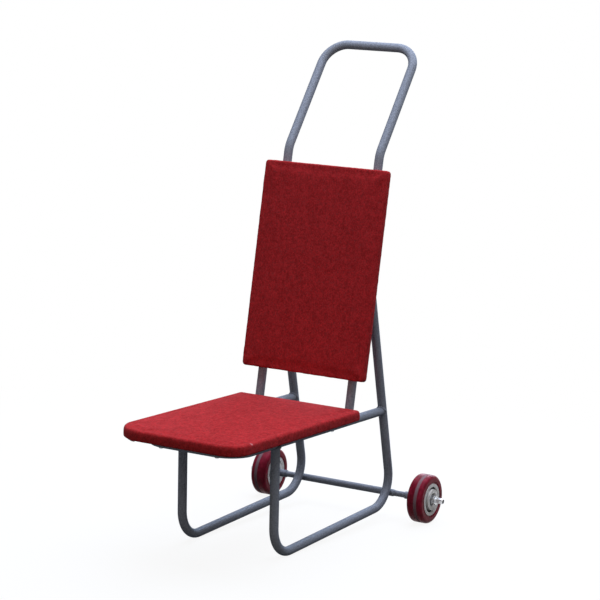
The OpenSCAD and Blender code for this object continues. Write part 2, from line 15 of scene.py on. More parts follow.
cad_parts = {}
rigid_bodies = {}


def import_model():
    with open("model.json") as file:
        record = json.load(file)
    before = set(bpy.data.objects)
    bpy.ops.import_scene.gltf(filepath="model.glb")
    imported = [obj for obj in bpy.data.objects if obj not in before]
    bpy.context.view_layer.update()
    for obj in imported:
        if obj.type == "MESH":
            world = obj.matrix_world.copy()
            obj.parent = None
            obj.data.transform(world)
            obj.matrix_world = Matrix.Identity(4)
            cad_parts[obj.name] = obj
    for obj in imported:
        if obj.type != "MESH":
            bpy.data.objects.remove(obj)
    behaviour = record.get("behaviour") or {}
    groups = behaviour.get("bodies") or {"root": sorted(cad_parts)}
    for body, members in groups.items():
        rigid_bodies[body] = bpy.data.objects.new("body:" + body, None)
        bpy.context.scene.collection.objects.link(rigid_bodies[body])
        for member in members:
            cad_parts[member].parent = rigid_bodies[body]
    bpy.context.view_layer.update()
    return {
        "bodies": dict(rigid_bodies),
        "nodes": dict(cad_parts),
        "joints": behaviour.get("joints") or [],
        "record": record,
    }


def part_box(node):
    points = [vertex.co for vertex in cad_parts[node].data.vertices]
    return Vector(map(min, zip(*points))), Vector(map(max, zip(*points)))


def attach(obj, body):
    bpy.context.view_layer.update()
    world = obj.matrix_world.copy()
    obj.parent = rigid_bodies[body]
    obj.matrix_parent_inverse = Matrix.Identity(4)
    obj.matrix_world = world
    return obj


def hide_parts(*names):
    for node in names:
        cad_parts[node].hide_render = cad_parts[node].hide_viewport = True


log = logging.getLogger("chair_trolley")

Object = bpy.types.Object
Material = bpy.types.Material
Socket = bpy.types.NodeSocket
Colour = tuple[float, float, float, float]
Triple = tuple[float, float, float]
Span = tuple[float, float]

MM = 0.001
SAME_PLACE = 1e-5
SAME_EDGE = 1e-6
NEVER_ZERO = 1e-9
# A face looks along an axis when this much of its normal does
FACING = 0.9
SHARP_ANGLE = math.radians(30)
UNIT: Span = (0.0, 1.0)
WHITE: Colour = (1.0, 1.0, 1.0, 1.0)
FRAME_BODY = "frame"
TUBE_X = 0.1295
TUBE_RADIUS = 0.0111


class Side(Enum):
    """Left and right of the trolley, as the sign of X."""

    LEFT = -1
    RIGHT = 1

    @property
    def label(self) -> str:
        """Name of the side as the CAD nodes write it."""
        return self.name.lower()


@dataclass(frozen=True)
class WheelPlace:
    """Middle of the right wheel in the model's frame, and its radius. The left wheel mirrors it."""

    x: float
    y: float
    z: float
    radius: float

    @classmethod
    def from_frame(cls) -> WheelPlace:
        """Take the place from the right tyre.

        Returns:
            The place.
        """
        low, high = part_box("right_tyre")
        radius = (high.z - low.z) / 2
        return cls((low.x + high.x) / 2, (low.y + high.y) / 2, (low.z + high.z) / 2, radius)


@dataclass(frozen=True)
class SideView:
    """Middle lines of the frame's tubes in the side view, with leans from upright."""

    rail_z: float = 0.284
    leg_top_y: float = -0.197457
    upright_foot_y: float = 0.1416433
    strut_top_z: float = 0.693783
    leg_lean: float = math.radians(2.2)
    upright_lean: float = math.radians(8.5)
    strut_lean: float = math.radians(15.8)

    @property
    def strut_top_y(self) -> float:
        """Where the rear leg meets the upright."""
        return self.upright_foot_y + (self.strut_top_z - self.rail_z) * math.tan(self.upright_lean)

    @property
    def rail_end_y(self) -> float:
        """Where the rail meets the rear leg."""
        return self.strut_top_y + (self.strut_top_z - self.rail_z) * math.tan(self.strut_lean)


# Modelling helpers


def deselect_all() -> None:
    """Leave edit mode and clear the selection."""
    if bpy.context.object is not None and bpy.context.object.mode != "OBJECT":
        bpy.ops.object.mode_set(mode="OBJECT")
    bpy.ops.object.select_all(action="DESELECT")


def pick(obj: Object) -> None:
    """Make one object the only selected and active one.

    Args:
        obj: The object to pick.
    """
    deselect_all()
    obj.select_set(True)
    bpy.context.view_layer.objects.active = obj


def apply_place() -> None:
    """Put the place, turn and scale of the picked object into its mesh."""
    bpy.ops.object.transform_apply(location=True, rotation=True, scale=True)


def start_selection(obj: Object, kind: str) -> None:
    """Pick a mesh object with none of its edges or faces selected.

    Args:
        obj: The mesh object.
        kind: What will be selected, EDGE or FACE.
    """
    pick(obj)
    bpy.ops.object.mode_set(mode="EDIT")
    bpy.ops.mesh.select_mode(type=kind)
    bpy.ops.mesh.select_all(action="DESELECT")
    bpy.ops.object.mode_set(mode="OBJECT")


def select_edges(obj: Object, wanted: Callable[[Vector, Vector], bool]) -> None:
    """Enter edit mode with only the edges selected whose two ends pass a test.

    Args:
        obj: The mesh object to edit.
        wanted: Test of an edge by its two end points.
    """
    start_selection(obj, "EDGE")
    verts = obj.data.vertices
    for edge in obj.data.edges:
        a, b = edge.vertices
        edge.select = wanted(verts[a].co, verts[b].co)
    bpy.ops.object.mode_set(mode="EDIT")


def select_faces(obj: Object, wanted: Callable[[Vector, Vector], bool]) -> None:
    """Enter edit mode with only the faces selected whose middle and normal pass a test.

    Args:
        obj: The mesh object to edit.
        wanted: Test of a face by its centre and its normal.
    """
    start_selection(obj, "FACE")
    for face in obj.data.polygons:
        face.select = wanted(face.center, face.normal)
    bpy.ops.object.mode_set(mode="EDIT")


def add_block(size: Sequence[float], middle: Sequence[float]) -> Object:
    """Add a cube at its size and place.

    Args:
        size: Its three lengths.
        middle: Its middle.

    Returns:
        The block.
    """
    deselect_all()
    bpy.ops.mesh.primitive_cube_add(size=1, location=middle)
    obj = bpy.context.object
    obj.scale = size
    apply_place()
    return obj


def apply_modifier(obj: Object, kind: str, **settings: object) -> None:
    """Add a modifier to a mesh object and apply it.

    Args:
        obj: The mesh object.
        kind: The modifier's type.
        settings: The modifier's properties.
    """
    pick(obj)
    bpy.ops.object.modifier_add(type=kind)
    modifier = obj.modifiers[-1]
    for key, value in settings.items():
        setattr(modifier, key, value)
    bpy.ops.object.modifier_apply(modifier=modifier.name)


def settle(obj: Object, name: str, place: Matrix | None = None) -> Object:
    """Name a finished piece and put its place into its mesh, with the object at the origin.

    Args:
        obj: The finished mesh object.
        name: Its new name.
        place: Where its own frame lies in the model's frame.

    Returns:
        The same object.
    """
    pick(obj)
    if place is not None:
        obj.matrix_world = place @ obj.matrix_world
    apply_place()
    obj.name = name
    obj.data.name = name
    return obj


def join(objects: Sequence[Object]) -> Object:
    """Join several mesh objects into the first one.

    Args:
        objects: The mesh objects.

    Returns:
        The joined object.
    """
    deselect_all()
    for obj in objects:
        obj.select_set(True)
    bpy.context.view_layer.objects.active = objects[0]
    bpy.ops.object.join()
    return objects[0]


def coordinates(obj: Object) -> np.ndarray:
    """Read the vertex positions of a mesh object.

    Args:
        obj: The mesh object.

    Returns:
        One row for each vertex.
    """
    rows = np.empty(len(obj.data.vertices) * 3)
    obj.data.vertices.foreach_get("co", rows)
    return rows.reshape(-1, 3)


def set_coordinates(obj: Object, rows: np.ndarray) -> None:
    """Write vertex positions back to a mesh object."""
    obj.data.vertices.foreach_set("co", rows.ravel())
    obj.data.update()


# Node trees


@dataclass(frozen=True)
class Pattern:
    """A cloudy pattern: waves per metre, finer octaves and their strength, and scale along each axis."""

    waves: float
    octaves: float = 3.0
    rough: float = 0.55
    stretch: Triple = (1.0, 1.0, 1.0)


@dataclass(frozen=True)
class Relief:
    """Bump of a pattern: its height in metres and the strength of its effect."""

    depth: float
    strength: float


class NodeSketch:
    """Short way to lay out a node tree."""

    def __init__(self, tree: bpy.types.NodeTree) -> None:
        """Start on a tree."""
        self.tree = tree

    def node(self, kind: str, inputs: dict | None = None, **settings: object) -> bpy.types.Node:
        """Add a node.

        Args:
            kind: The node's type, without its ShaderNode prefix.
            inputs: Values or sockets for its inputs, by name or place.
            settings: Properties of the node.

        Returns:
            The node.
        """
        made = self.tree.nodes.new("ShaderNode" + kind)
        for key, value in settings.items():
            setattr(made, key, value)
        for key, value in (inputs or {}).items():
            self.put(made.inputs[key], value)
        return made

    def put(self, socket: Socket, value: object) -> None:
        """Set an input's own value, or link it to another node's output.

        Args:
            socket: The input.
            value: The plain value or the output.
        """
        if isinstance(value, Socket):
            self.tree.links.new(value, socket)
        else:
            socket.default_value = value

    def math(self, operation: str, a: object, b: object = 0.0) -> Socket:
        """Combine two numbers.

        Args:
            operation: The math node's operation.
            a: First number or socket.
            b: Second number or socket.

        Returns:
            The result.
        """
        return self.node("Math", {0: a, 1: b}, operation=operation).outputs[0]

    def weighted(self, *parts: tuple[Socket, float]) -> Socket:
        """Add up numbers by their weights.

        Args:
            parts: Each number with its weight.

        Returns:
            The sum.
        """
        first, *others = [self.math("MULTIPLY", value, weight) for value, weight in parts]
        for other in others:
            first = self.math("ADD", first, other)
        return first

    def span(self, value: Socket, limits: Span, results: Span = UNIT) -> Socket:
        """Map a span of values smoothly to another, held at its ends.

        Args:
            value: The number to map.
            limits: Start and end of the span.
            results: What the start and the end become.

        Returns:
            The mapped number.
        """
        made = self.node("MapRange", {0: value, 1: limits[0], 2: limits[1], 3: results[0], 4: results[1]},
                         interpolation_type="SMOOTHSTEP")
        return made.outputs[0]

    def blend(self, share: object, a: object, b: object) -> Socket:
        """Mix two colours.

        Args:
            share: How much of the second colour.
            a: First colour or socket.
            b: Second colour or socket.

        Returns:
            The mixed colour.
        """
        return self.node("Mix", {0: share, 6: a, 7: b}, data_type="RGBA").outputs[2]

    def seen(self) -> Socket:
        """Tell the rays that show the background from those that light the object.

        Returns:
            One for the rays that show it, and zero for the others.
        """
        path = self.node("LightPath")
        share = path.outputs["Is Camera Ray"]
        for name in ("Is Glossy Ray", "Is Transmission Ray"):
            share = self.math("MAXIMUM", share, path.outputs[name])
        return share


class MaterialSketch(NodeSketch):
    """Short way to lay out one material, with patterns on the piece's own coordinates."""

    def __init__(self, name: str) -> None:
        """Start an empty material.

        Args:
            name: Name of the material.
        """
        self.material = bpy.data.materials.new(name)
        self.material.use_nodes = True
        super().__init__(self.material.node_tree)
        self.tree.nodes.clear()
        self.coords = self.node("TexCoord").outputs["Object"]

    def axes(self) -> tuple[Socket, Socket, Socket]:
        """The three coordinates."""
        return tuple(self.node("SeparateXYZ", {0: self.coords}).outputs)

    def noise(self, pattern: Pattern) -> Socket:
        """Lay out a cloudy pattern.

        Args:
            pattern: The pattern.

        Returns:
            Its value, near 0.5 in the middle.
        """
        mapped = self.node("Mapping", {"Vector": self.coords, "Scale": pattern.stretch})
        made = self.node("TexNoise", {"Vector": mapped.outputs[0], "Scale": pattern.waves,
                                      "Detail": pattern.octaves, "Roughness": pattern.rough})
        return made.outputs[0]

    def cells(self, scale: float, feature: str = "F1") -> Socket:
        """Lay out a distance pattern of scattered cells.

        Args:
            scale: Cells per metre.
            feature: Which distance to take.

        Returns:
            The distance.
        """
        return self.node("TexVoronoi", {"Vector": self.coords, "Scale": scale}, feature=feature).outputs[0]

    def wheel_place(self, wheel: WheelPlace, outboard: float = 0.0) -> tuple[Socket, Socket]:
        """Find where a point of a wheel lies in the wheel.

        Args:
            wheel: Place of the wheel.
            outboard: How far outboard of the wheel's middle to measure from.

        Returns:
            How far outboard it lies, and how far from the axle.
        """
        x, y, z = self.axes()
        across = self.math("SUBTRACT", self.math("ABSOLUTE", x), wheel.x + outboard)
        along = self.math("SUBTRACT", y, wheel.y)
        up = self.math("SUBTRACT", z, wheel.z)
        squares = self.math("ADD", self.math("MULTIPLY", along, along), self.math("MULTIPLY", up, up))
        return across, self.math("SQRT", squares)

    def relief(self, height: Socket, relief: Relief, under: Socket | None = None) -> Socket:
        """Bump the surface by a pattern.

        Args:
            height: The pattern.
            relief: Its height and strength.
            under: Normal of a coarser relief below this one.

        Returns:
            The normal.
        """
        inputs = {"Height": height, "Distance": relief.depth, "Strength": relief.strength}
        if under is not None:
            inputs["Normal"] = under
        return self.node("Bump", inputs).outputs[0]

    def show(self, shader: bpy.types.Node) -> Material:
        """Give the material its shader.

        Args:
            shader: The shader's node.

        Returns:
            The finished material.
        """
        self.node("OutputMaterial", {0: shader.outputs[0]})
        return self.material

    def surface(self, **inputs: object) -> Material:
        """Give the material a main shader, with spaces in its inputs' names written as underscores.

        Args:
            inputs: Values or sockets.

        Returns:
            The finished material.
        """
        named = {key.replace("_", " "): value for key, value in inputs.items()}
        return self.show(self.node("BsdfPrincipled", named))


# Finishes


@dataclass(frozen=True)
class PowderCoat:
    """Silver-grey textured powder coat of the tube frame, scuffed where it meets the floor."""

    name: str = "silver_powder_coat"
    dark: Colour = (0.206, 0.216, 0.244, 1)
    light: Colour = (0.332, 0.350, 0.398, 1)
    worn: Colour = (0.354, 0.372, 0.420, 1)
    bare: Colour = (0.40, 0.40, 0.41, 1)
    edge: Colour = (0.42, 0.52, 0.72, 1)
    metal: float = 0.08
    rough: Span = (0.30, 0.42)
    rough_limits: Span = (0.3, 0.7)
    grain: Pattern = Pattern(430, 4, 0.6)
    grain_relief: Relief = Relief(0.08 * MM, 0.4)
    flake_limits: Span = (0.36, 0.64)
    wear: Pattern = Pattern(14)
    wear_limits: Span = (0.5, 0.8)
    wear_most: float = 0.25
    scratch: Pattern = Pattern(260, 5, 0.75, (1, 0.12, 1))
    scratch_limits: Span = (0.45, 0.6)
    scuff_heights: Span = (1 * MM, 5 * MM)
    dimples: float = 430.0
    dimple_relief: Relief = Relief(0.22 * MM, 0.55)

    def colour(self, s: MaterialSketch, grain: Socket) -> Socket:
        """Lay out the flaked colour of the coat.

        Args:
            s: The material's sketch.
            grain: The coat's fine grain.

        Returns:
            The colour.
        """
        flakes = s.blend(s.span(grain, self.flake_limits), self.dark, self.light)
        wear = s.span(s.noise(self.wear), self.wear_limits, (0, self.wear_most))
        return s.blend(wear, flakes, self.worn)

    def material(self) -> Material:
        """Build the material.

        Returns:
            The material.
        """
        s = MaterialSketch(self.name)
        grain = s.noise(self.grain)
        low = s.span(s.axes()[2], self.scuff_heights, (1, 0))
        scuffs = s.math("MULTIPLY", low, s.span(s.noise(self.scratch), self.scratch_limits))
        dimples = s.relief(s.cells(self.dimples, "SMOOTH_F1"), self.dimple_relief)
        return s.surface(
            Base_Color=s.blend(scuffs, self.colour(s, grain), self.bare), Metallic=self.metal,
            Specular_IOR_Level=0.0, Specular_Tint=self.edge,
            Roughness=s.span(grain, self.rough_limits, self.rough),
            Normal=s.relief(grain, self.grain_relief, dimples))


@dataclass(frozen=True)
class AxleCoat:
    """Axle rod: coated like the frame between the wheels, with bright ends, and painted shade darkening
    its cut end faces.
    """

    bright_from: float
    cut_at: float
    name: str = "part_coated_axle"
    bright: Colour = (0.66, 0.67, 0.69, 1)
    # Near-black painted shade on the rod's cut end faces
    painted_end_shade: Colour = (0.030, 0.030, 0.034, 1)
    coat: PowderCoat = PowderCoat()
    rough: Span = (0.37, 0.2)
    bright_edge: float = 0.4 * MM
    cut_edge: Span = (0.3 * MM, 0.1 * MM)
    grain_relief: Relief = Relief(0.1 * MM, 0.4)

    def material(self) -> Material:
        """Build the material.

        Returns:
            The material.
        """
        s = MaterialSketch(self.name)
        grain = s.noise(self.coat.grain)
        across = s.math("ABSOLUTE", s.axes()[0])
        ends = s.span(across, (self.bright_from, self.bright_from + self.bright_edge))
        # Painted shade: the last fraction of a millimetre before each cut end turns near black
        face = s.span(across, (self.cut_at - self.cut_edge[0], self.cut_at - self.cut_edge[1]))
        colour = s.blend(face, s.blend(ends, self.coat.colour(s, grain), self.bright), self.painted_end_shade)
        return s.surface(
            Base_Color=colour, Metallic=s.span(ends, UNIT, (self.coat.metal, 1.0)), Specular_IOR_Level=0.0,
            Roughness=s.span(ends, UNIT, self.rough), Normal=s.relief(grain, self.grain_relief))


@dataclass(frozen=True)
class Felt:
    """Red needle felt of the covers: heathered, matt and hairy, with a little lint."""

    name: str = "red_felt"
    deep: Colour = (0.315, 0.0123, 0.0138, 1)
    bright: Colour = (0.610, 0.0310, 0.0350, 1)
    heather: Colour = (0.300, 0.0500, 0.0510, 1)
    lint: Colour = (0.78, 0.55, 0.54, 1)
    sheen: Colour = (1.0, 0.6, 0.6, 1)
    fibres: Pattern = Pattern(1100, 4, 0.7, (1.0, 0.62, 0.80))
    tufts: Pattern = Pattern(250, 5, 0.7, (1.0, 0.62, 0.80))
    lumps: Pattern = Pattern(95, 3, 0.6, (1.0, 0.62, 0.80))
    drift: Pattern = Pattern(21, 3, 0.6)
    fibre_weight: float = 0.70
    tuft_weight: float = 0.74
    lump_weight: float = 0.36
    drift_weight: float = 0.12
    mottle_limits: Span = (0.80, 1.12)
    grey: Pattern = Pattern(310, 4, 0.65, (1.1, 0.682, 0.88))
    grey_limits: Span = (0.46, 0.74)
    grey_most: float = 0.6
    speck_cells: float = 46.0
    speck_limits: Span = (0.035, 0.02)
    patches: Pattern = Pattern(19, 2)
    patch_limits: Span = (0.62, 0.68)
    lint_most: float = 0.7
    fleck_at: Triple = (0.1710, -0.3720, 0.3190)
    fleck_reach: Span = (5.5 * MM, 1.65 * MM)
    fray: Pattern = Pattern(420)
    fray_limits: Span = (0.30, 0.60)
    fray_most: float = 0.6
    nap_lumps: float = 0.6
    nap_relief: Relief = Relief(0.9 * MM, 0.7)
    hair_relief: Relief = Relief(0.4 * MM, 0.9)

    def lint_share(self, s: MaterialSketch) -> Socket:
        """Scatter the lint, with one larger fleck on the seat's front right edge.

        Args:
            s: The material's sketch.

        Returns:
            The share of lint.
        """
        specks = s.math("MULTIPLY", s.span(s.cells(self.speck_cells), self.speck_limits),
                        s.span(s.noise(self.patches), self.patch_limits))
        away = s.node("VectorMath", {0: s.coords, 1: self.fleck_at}, operation="DISTANCE").outputs["Value"]
        fleck = s.math("MULTIPLY", s.span(away, self.fleck_reach),
                       s.span(s.noise(self.fray), self.fray_limits, (0, self.fray_most)))
        return s.math("MULTIPLY", s.math("MAXIMUM", specks, fleck), self.lint_most)

    def material(self) -> Material:
        """Build the material.

        Returns:
            The material.
        """
        s = MaterialSketch(self.name)
        fibres = s.noise(self.fibres)
        tufts = s.noise(self.tufts)
        lumps = s.noise(self.lumps)
        mottle = s.weighted((tufts, self.tuft_weight), (lumps, self.lump_weight),
                            (fibres, self.fibre_weight), (s.noise(self.drift), self.drift_weight))
        colour = s.blend(s.span(mottle, self.mottle_limits), self.deep, self.bright)
        grey = s.span(s.noise(self.grey), self.grey_limits, (0, self.grey_most))
        colour = s.blend(grey, colour, self.heather)
        nap = s.relief(s.weighted((tufts, 1.0), (lumps, self.nap_lumps)), self.nap_relief)
        return s.surface(
            Base_Color=s.blend(self.lint_share(s), colour, self.lint), Roughness=0.95,
            Specular_IOR_Level=0.05, Sheen_Weight=0.05, Sheen_Roughness=0.5, Sheen_Tint=self.sheen,
            Normal=s.relief(fibres, self.hair_relief, nap))


@dataclass(frozen=True)
class GrainedFinish:
    """Plain finish of two colours that follow one grain, with a relief of the same grain."""

    name: str
    low: Colour
    high: Colour
    grain: Pattern
    limits: Span
    relief: Relief
    rough: float
    sheen: float = 0.0

    def material(self) -> Material:
        """Build the material.

        Returns:
            The material.
        """
        s = MaterialSketch(self.name)
        grain = s.noise(self.grain)
        return s.surface(
            Base_Color=s.blend(s.span(grain, self.limits), self.low, self.high), Roughness=self.rough,
            Sheen_Weight=self.sheen, Normal=s.relief(grain, self.relief))


@dataclass(frozen=True)
class Foam:
    """Pale open-cell foam inside the panels."""

    name: str = "pale_foam"
    pale: Colour = (0.80, 0.70, 0.42, 1)
    deep: Colour = (0.52, 0.42, 0.22, 1)
    pores: float = 650.0
    pore_limits: Span = (0.1, 0.5)
    pore_relief: Relief = Relief(0.6 * MM, 0.7)

    def material(self) -> Material:
        """Build the material.

        Returns:
            The material.
        """
        s = MaterialSketch(self.name)
        pores = s.cells(self.pores)
        return s.surface(Base_Color=s.blend(s.span(pores, self.pore_limits), self.deep, self.pale),
                         Roughness=0.95, Normal=s.relief(pores, self.pore_relief))


@dataclass(frozen=True)
class PlatedSteel:
    """Bright plated or ground steel with fine turning marks."""

    name: str
    tone: Colour
    shade: Colour
    smooth: float
    rougher: float = 0.12
    marks: Pattern = Pattern(900, 3, 0.6, (6, 1, 1))
    mark_limits: Span = (0.3, 0.7)
    mark_relief: Relief = Relief(0.05 * MM, 0.4)
    stain: Pattern = Pattern(60, 4, 0.6)
    stain_limits: Span = (0.4, 0.72)
    stain_most: float = 0.6

    def material(self) -> Material:
        """Build the material.

        Returns:
            The material.
        """
        s = MaterialSketch(self.name)
        marks = s.noise(self.marks)
        stain = s.span(s.noise(self.stain), self.stain_limits, (0, self.stain_most))
        return s.surface(
            Base_Color=s.blend(stain, self.tone, self.shade), Metallic=1.0,
            Roughness=s.span(marks, self.mark_limits, (self.smooth, self.smooth + self.rougher)),
            Normal=s.relief(marks, self.mark_relief))


@dataclass(frozen=True)
class TyreRubber:
    """Maroon moulded tyre with a grey band round the middle of its tread: partly dust, partly a painted
    reflection.
    """

    wheel: WheelPlace
    name: str = "maroon_tyre"
    deep: Colour = (0.190, 0.0065, 0.019, 1)
    bright: Colour = (0.345, 0.0150, 0.042, 1)
    # Grey of the tread band: partly dust, partly a painted reflection of the bright surroundings
    dust: Colour = (0.290, 0.178, 0.192, 1)
    specular: float = 0.07
    cloud: Pattern = Pattern(55, 4, 0.6)
    cloud_limits: Span = (0.35, 0.7)
    scuff: Pattern = Pattern(120, 5, 0.7)
    scuff_limits: Span = (0.2, 0.6)
    scuff_least: float = 0.6
    scuff_relief: Relief = Relief(0.15 * MM, 0.4)
    # Place and width of the band of dust and painted reflection round the tread
    band_out: float = 4.5 * MM
    band_edge: Span = (2.8 * MM, 5.8 * MM)
    band_ragged: float = 2.5 * MM
    band_depth: Span = (6 * MM, 4 * MM)
    rough: Span = (0.34, 0.7)
    rough_limits: Span = (0.1, 0.9)
    rough_scuff: float = 0.3

    def material(self) -> Material:
        """Build the material.

        Returns:
            The material.
        """
        s = MaterialSketch(self.name)
        across, reach = s.wheel_place(self.wheel, self.band_out)
        scuff = s.noise(self.scuff)
        ragged = s.math("MULTIPLY", s.math("SUBTRACT", scuff, 0.5), self.band_ragged)
        edge = s.math("ADD", s.math("ABSOLUTE", across), ragged)
        tread = s.span(reach, tuple(self.wheel.radius - depth for depth in self.band_depth))
        band = s.math("MULTIPLY", s.span(edge, self.band_edge, (1, 0)), tread)
        # Share of the band: dust, and painted reflection of the surroundings
        dust_and_reflection = s.math("MULTIPLY", band, s.span(scuff, self.scuff_limits, (self.scuff_least, 1.0)))
        colour = s.blend(s.span(s.noise(self.cloud), self.cloud_limits), self.deep, self.bright)
        dull = s.weighted((band, 1.0), (scuff, self.rough_scuff))
        return s.surface(
            Base_Color=s.blend(dust_and_reflection, colour, self.dust), Specular_IOR_Level=self.specular,
            Roughness=s.span(dull, self.rough_limits, self.rough),
            Normal=s.relief(scuff, self.scuff_relief))


@dataclass(frozen=True)
class HubPlastic:
    """Light grey moulded hub, duller where dust settles, with painted shade darkening its grooves."""

    wheel: WheelPlace
    name: str = "grey_hub"
    pale: Colour = (0.93, 0.88, 0.82, 1)
    dull: Colour = (0.76, 0.715, 0.665, 1)
    # Painted shade: dark colour laid in the sunk groove between the boss and the rim
    groove_shade: Colour = (0.210, 0.225, 0.225, 1)
    dust: Pattern = Pattern(70, 5, 0.65)
    dust_limits: Span = (0.4, 0.75)
    dust_relief: Relief = Relief(0.1 * MM, 0.4)
    groove_in: Span = (25.9 * MM, 26.3 * MM)
    groove_out: Span = (33.6 * MM, 33.2 * MM)
    groove_depth: Span = (21 * MM, 13 * MM)
    groove_shade_limits: Span = (0.3, 0.6)
    groove_shade_least: float = 0.7
    rough: Span = (0.42, 0.6)
    rough_limits: Span = (0.3, 0.7)

    def material(self) -> Material:
        """Build the material.

        Returns:
            The material.
        """
        s = MaterialSketch(self.name)
        dust = s.noise(self.dust)
        across, reach = s.wheel_place(self.wheel)
        sunk = s.span(s.math("ABSOLUTE", across), self.groove_depth)
        groove = s.math("MULTIPLY", s.span(reach, self.groove_in), s.span(reach, self.groove_out))
        # Painted shade in the groove, made a little uneven by the dust pattern
        groove_shade_share = s.math("MULTIPLY", s.math("MULTIPLY", sunk, groove),
                        s.span(dust, self.groove_shade_limits, (self.groove_shade_least, 1.0)))
        colour = s.blend(s.span(dust, self.dust_limits), self.pale, self.dull)
        return s.surface(
            Base_Color=s.blend(groove_shade_share, colour, self.groove_shade),
            Roughness=s.span(dust, self.rough_limits, self.rough), Normal=s.relief(dust, self.dust_relief))


class Finishes:
    """All finishes of the trolley, each built once and given to the pieces by slot."""

    def __init__(self, wheel: WheelPlace) -> None:
        """Build every material.

        Args:
            wheel: Place of the wheels.
        """
        makers = {
            "frame_paint": PowderCoat(),
            "cover_cloth": Felt(),
            "lining_cloth": GrainedFinish(
                "black_lining", low=(0.008, 0.008, 0.009, 1), high=(0.030, 0.030, 0.033, 1),
                grain=Pattern(520, 5, 0.8, (1, 0.35, 1)), limits=(0.35, 0.7),
                relief=Relief(0.3 * MM, 0.8), rough=0.85, sheen=0.15),
            "plywood": GrainedFinish(
                "raw_plywood", low=(0.56, 0.38, 0.20, 1), high=(0.33, 0.19, 0.085, 1),
                grain=Pattern(38, 5, 0.65, (9, 0.6, 22)), limits=(0.35, 0.68),
                relief=Relief(0.4 * MM, 0.5), rough=0.72),
            "foam": Foam(),
            "zinc_steel": PlatedSteel(
                "bright_zinc", tone=(0.66, 0.67, 0.69, 1), shade=(0.40, 0.40, 0.42, 1), smooth=0.18),
            # Darker than real ground steel: painted shade for the bearing sunk in the hub's recess
            "bearing_steel": PlatedSteel(
                "ground_steel_painted_shade", tone=(0.26, 0.26, 0.27, 1), shade=(0.13, 0.13, 0.14, 1), smooth=0.24),
            "tyre": TyreRubber(wheel),
            "hub_plastic": HubPlastic(wheel),
            "seal_rubber": GrainedFinish(
                "black_seal", low=(0.010, 0.010, 0.011, 1), high=(0.035, 0.034, 0.034, 1),
                grain=Pattern(240, 4, 0.6), limits=(0.45, 0.75),
                relief=Relief(0.1 * MM, 0.4), rough=0.55),
            # Darker than real zinc: painted shade for the ring round the nut in the hub's recess
            "axle_washer": PlatedSteel(
                "zinc_painted_shade", tone=(0.20, 0.20, 0.21, 1), shade=(0.10, 0.10, 0.11, 1), smooth=0.34),
            "axle_rod": AxleCoat(bright_from=wheel.x, cut_at=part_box("axle_rod")[1].x),
        }
        self.by_slot = {slot: maker.material() for slot, maker in makers.items()}

    def paint(self, obj: Object, slot: str) -> None:
        """Give an object the one material of a slot."""
        obj.data.materials.clear()
        obj.data.materials.append(self.by_slot[slot])

    def dress(self, piece: Object, slot: str) -> None:
        """Give a new piece of the frame the material of its slot and its body, and report it.

        Args:
            piece: The finished piece.
            slot: Its material slot.
        """
        self.paint(piece, slot)
        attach(piece, FRAME_BODY)
        log.info("%s: %d points, %s", piece.name, len(piece.data.vertices), slot)

    def paint_nodes(self, frame: dict) -> None:
        """Give every CAD node the finish of its slot, and the axle's pieces their own.
        """
        for part in frame["record"]["subparts"]:
            node = frame["nodes"].get(part["node"])
            if node is not None:
                own = [name for name in ("axle_washer", "axle_rod") if name in part["node"]]
                self.paint(node, own[0] if own else part["material_slot"])
        log.info("painted %d nodes", len(frame["nodes"]))


# Soft pieces


@dataclass(frozen=True)
class Staple:
    """One staple: a flat crown along X with two short legs towards the board."""

    crown: float = 11 * MM
    wide: float = 1.2 * MM
    thick: float = 0.55 * MM
    shoulder: float = 0.5 * MM
    leg: float = 0.8 * MM
    rounding: float = 0.2 * MM

    def make(self) -> Object:
        """Bend the staple.

        Returns:
            The staple at the origin.
        """
        obj = add_block((self.crown, self.wide, self.thick), (0, 0, 0))
        select_faces(obj, lambda middle, normal: abs(normal.x) > FACING)
        bpy.ops.mesh.extrude_region_shrink_fatten(TRANSFORM_OT_shrink_fatten={"value": -self.shoulder})
        select_faces(obj, lambda middle, normal: normal.z > FACING and abs(middle.x) > self.crown / 2)
        bpy.ops.mesh.extrude_region_move(TRANSFORM_OT_translate={"value": (0, 0, self.leg)})
        select_edges(obj, lambda a, b: abs(a.y - b.y) > self.wide / 2 and a.z < 0)
        bpy.ops.mesh.bevel(offset=self.rounding, segments=2, affect="EDGES")
        bpy.ops.object.mode_set(mode="OBJECT")
        return obj


